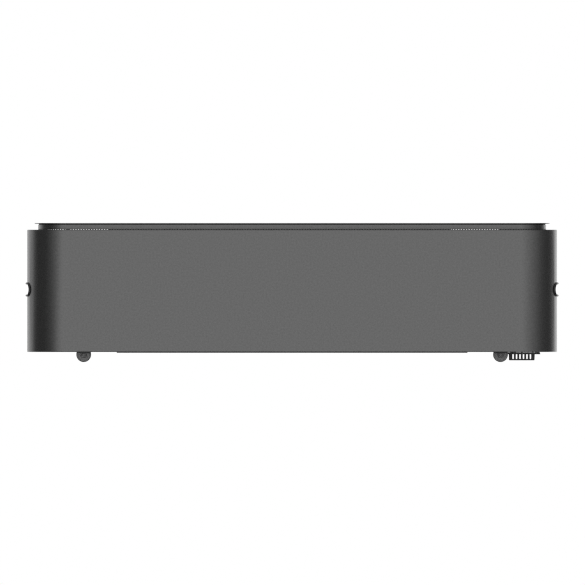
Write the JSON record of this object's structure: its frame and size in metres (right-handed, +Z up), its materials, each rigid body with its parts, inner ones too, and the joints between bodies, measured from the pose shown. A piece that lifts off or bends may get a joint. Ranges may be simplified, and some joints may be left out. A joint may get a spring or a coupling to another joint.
{
  "type": "baseboard convector heater",
  "caption": "Low, long electric convector heater with rounded ends, a slotted warm-air outlet under a flat top, finger grips in the ends, top controls and swivel casters.",
  "frame": {"origin": "middle of the footprint, on the floor that the wheels stand on", "axes": "+X along the heater's length to the end with the controls (the picture's right), +Y from the front to the back, +Z up"},
  "size_m": [1.0062, 0.18, 0.2624],
  "materials": {
    "painted_steel": "fine-textured satin powder coat",
    "grille_plastic": "satin coat in the casing's colour",
    "gasket_rubber": "plain matt",
    "black_steel": "heat-resistant matt black",
    "dark_plastic": "fine matt moulding texture",
    "button_plastic": "satin",
    "display_window": "clear gloss, smoked",
    "circuit_board": "solder mask",
    "zinc_sheet": "zinc-plated sheet",
    "bright_steel": "turned or pressed steel",
    "element_steel": "heat-darkened sheath",
    "fin_aluminium": "rolled sheet",
    "ceramic": "glazed",
    "phenolic": "moulded",
    "terminal_nylon": "moulded",
    "sensor_resin": "dipped",
    "wheel_plastic": "moulded"
  },
  "bodies": {
    "heater": {"outer_casing": "painted_steel", "rear_panel": "painted_steel", "top_grille": "grille_plastic", "plate_gasket": "gasket_rubber", "top_plate": "painted_steel", "control_fascia": "grille_plastic", "display_window": "display_window", "control_box": "dark_plastic", "control_board": "circuit_board", "base_pan": "zinc_sheet", "inlet_grille": "dark_plastic", "caster_sockets": "dark_plastic", "sensor_cage": "dark_plastic", "room_sensor": "sensor_resin", "left_grip": "dark_plastic", "right_grip": "dark_plastic", "element_rod": "element_steel", "element_fins": "fin_aluminium", "element_bushes": "ceramic", "left_end_plate": "zinc_sheet", "right_end_plate": "zinc_sheet", "front_heat_shield": "zinc_sheet", "rear_heat_shield": "zinc_sheet", "air_deflector": "black_steel", "top_brace": "dark_plastic", "thermal_cutout": "phenolic", "tip_switch": "phenolic", "terminal_block": "terminal_nylon", "power_board": "circuit_board", "board_standoffs": "bright_steel", "cord_gland": "dark_plastic", "rear_screws": "bright_steel", "inlet_screws": "bright_steel", "pan_rivets": "bright_steel", "grille_screws": "bright_steel"},
    "power_button": {"button_power": "button_plastic"},
    "mode_button": {"button_mode": "button_plastic"},
    "minus_button": {"button_minus": "button_plastic"},
    "timer_button": {"button_timer": "button_plastic"},
    "plus_button": {"button_plus": "button_plastic"},
    "caster_fl": {"caster_stem_fl": "bright_steel", "caster_body_fl": "dark_plastic", "axle_fl": "bright_steel"},
    "wheel_fl_outer": {"wheel_fl_outer": "wheel_plastic"},
    "wheel_fl_inner": {"wheel_fl_inner": "wheel_plastic"},
    "caster_fr": {"caster_stem_fr": "bright_steel", "caster_body_fr": "dark_plastic", "axle_fr": "bright_steel"},
    "wheel_fr_outer": {"wheel_fr_outer": "wheel_plastic"},
    "wheel_fr_inner": {"wheel_fr_inner": "wheel_plastic"},
    "caster_bl": {"caster_stem_bl": "bright_steel", "caster_body_bl": "dark_plastic", "axle_bl": "bright_steel"},
    "wheel_bl_outer": {"wheel_bl_outer": "wheel_plastic"},
    "wheel_bl_inner": {"wheel_bl_inner": "wheel_plastic"},
    "caster_br": {"caster_stem_br": "bright_steel", "caster_body_br": "dark_plastic", "axle_br": "bright_steel"},
    "wheel_br_outer": {"wheel_br_outer": "wheel_plastic"},
    "wheel_br_inner": {"wheel_br_inner": "wheel_plastic"}
  },
  "joints": [
    {"name": "press_power", "type": "slide", "parent": "heater", "child": "power_button", "axis": [0, 0, -1], "range_m": [0, 0.0008], "stiffness_N_per_m": 400, "springref_m": -0.0005},
    {"name": "press_mode", "type": "slide", "parent": "heater", "child": "mode_button", "axis": [0, 0, -1], "range_m": [0, 0.0008], "stiffness_N_per_m": 400, "springref_m": -0.0005},
    {"name": "press_minus", "type": "slide", "parent": "heater", "child": "minus_button", "axis": [0, 0, -1], "range_m": [0, 0.0008], "stiffness_N_per_m": 400, "springref_m": -0.0005},
    {"name": "press_timer", "type": "slide", "parent": "heater", "child": "timer_button", "axis": [0, 0, -1], "range_m": [0, 0.0008], "stiffness_N_per_m": 400, "springref_m": -0.0005},
    {"name": "press_plus", "type": "slide", "parent": "heater", "child": "plus_button", "axis": [0, 0, -1], "range_m": [0, 0.0008], "stiffness_N_per_m": 400, "springref_m": -0.0005},
    {"name": "swivel_fl", "type": "hinge", "parent": "heater", "child": "caster_fl", "pos_m": [-0.384, -0.052, 0.014], "axis": [0, 0, 1], "continuous": true},
    {"name": "roll_fl_outer", "type": "hinge", "parent": "caster_fl", "child": "wheel_fl_outer", "pos_m": [-0.3933, -0.052, 0.014], "axis": [0, 1, 0], "continuous": true},
    {"name": "roll_fl_inner", "type": "hinge", "parent": "caster_fl", "child": "wheel_fl_inner", "pos_m": [-0.3933, -0.052, 0.014], "axis": [0, 1, 0], "continuous": true},
    {"name": "swivel_fr", "type": "hinge", "parent": "heater", "child": "caster_fr", "pos_m": [0.384, -0.052, 0.014], "axis": [0, 0, 1], "continuous": true},
    {"name": "roll_fr_outer", "type": "hinge", "parent": "caster_fr", "child": "wheel_fr_outer", "pos_m": [0.3933, -0.052, 0.014], "axis": [0, 1, 0], "continuous": true},
    {"name": "roll_fr_inner", "type": "hinge", "parent": "caster_fr", "child": "wheel_fr_inner", "pos_m": [0.3933, -0.052, 0.014], "axis": [0, 1, 0], "continuous": true},
    {"name": "swivel_bl", "type": "hinge", "parent": "heater", "child": "caster_bl", "pos_m": [-0.384, 0.052, 0.014], "axis": [0, 0, 1], "continuous": true},
    {"name": "roll_bl_outer", "type": "hinge", "parent": "caster_bl", "child": "wheel_bl_outer", "pos_m": [-0.3933, 0.052, 0.014], "axis": [0, 1, 0], "continuous": true},
    {"name": "roll_bl_inner", "type": "hinge", "parent": "caster_bl", "child": "wheel_bl_inner", "pos_m": [-0.3933, 0.052, 0.014], "axis": [0, 1, 0], "continuous": true},
    {"name": "swivel_br", "type": "hinge", "parent": "heater", "child": "caster_br", "pos_m": [0.384, 0.052, 0.014], "axis": [0, 0, 1], "continuous": true},
    {"name": "roll_br_outer", "type": "hinge", "parent": "caster_br", "child": "wheel_br_outer", "pos_m": [0.3933, 0.052, 0.014], "axis": [0, 1, 0], "continuous": true},
    {"name": "roll_br_inner", "type": "hinge", "parent": "caster_br", "child": "wheel_br_inner", "pos_m": [0.3933, 0.052, 0.014], "axis": [0, 1, 0], "continuous": true}
  ]
}
